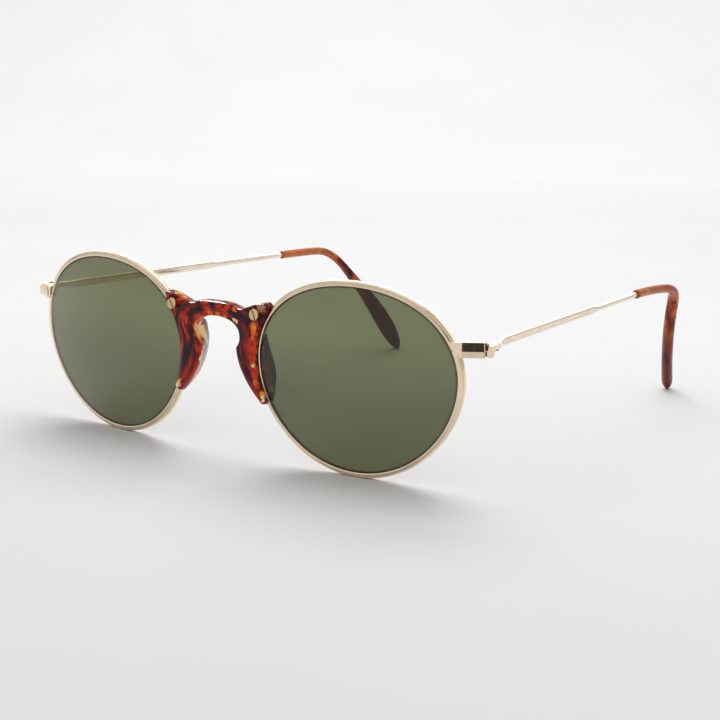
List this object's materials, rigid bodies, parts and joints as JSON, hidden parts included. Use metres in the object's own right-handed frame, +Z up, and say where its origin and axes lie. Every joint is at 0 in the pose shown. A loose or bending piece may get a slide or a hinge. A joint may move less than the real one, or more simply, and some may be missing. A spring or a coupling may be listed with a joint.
{
  "type": "sunglasses",
  "caption": "Oval metal sunglasses with green glass lenses, a screwed-on plastic keyhole bridge with nose pads, and folding hook temples with plastic tips.",
  "frame": {"origin": "on the surface it stands on, under the middle of the opened pair's bounding box", "axes": "+X to the wearer's left, +Y from the lenses back to the ears, +Z up"},
  "size_m": [0.1346, 0.1381, 0.0435],
  "materials": {
    "gold_metal": "polished pale gold plating",
    "screw_metal": "pale polished gold",
    "lens_glass": "grey-green tinted, polished",
    "tortoise": "polished tortoiseshell, translucent"
  },
  "bodies": {
    "front": {"bridge": "tortoise", "rim_left": "gold_metal", "lens_left": "lens_glass", "upper_lug_left": "gold_metal", "lower_lug_left": "gold_metal", "bridge_screw_left": "screw_metal", "endpiece_left": "gold_metal", "closing_block_upper_left": "gold_metal", "closing_block_lower_left": "gold_metal", "closing_screw_left": "screw_metal", "hinge_leaf_left": "gold_metal", "hinge_screw_left": "screw_metal", "rim_right": "gold_metal", "lens_right": "lens_glass", "upper_lug_right": "gold_metal", "lower_lug_right": "gold_metal", "bridge_screw_right": "screw_metal", "endpiece_right": "gold_metal", "closing_block_upper_right": "gold_metal", "closing_block_lower_right": "gold_metal", "closing_screw_right": "screw_metal", "hinge_leaf_right": "gold_metal", "hinge_screw_right": "screw_metal"},
    "temple_left": {"temple_left": "gold_metal", "tip_left": "tortoise", "hinge_tongue_left": "gold_metal"},
    "temple_right": {"temple_right": "gold_metal", "tip_right": "tortoise", "hinge_tongue_right": "gold_metal"}
  },
  "joints": [
    {"name": "fold_left", "type": "hinge", "parent": "front", "child": "temple_left", "pos_m": [0.06374, -0.05716, 0.03134], "axis": [0, -0.0767, 0.9971], "range_deg": [0, 83]},
    {"name": "fold_right", "type": "hinge", "parent": "front", "child": "temple_right", "pos_m": [-0.06374, -0.05716, 0.03134], "axis": [0, 0.0767, -0.9971], "range_deg": [0, 78]}
  ]
}
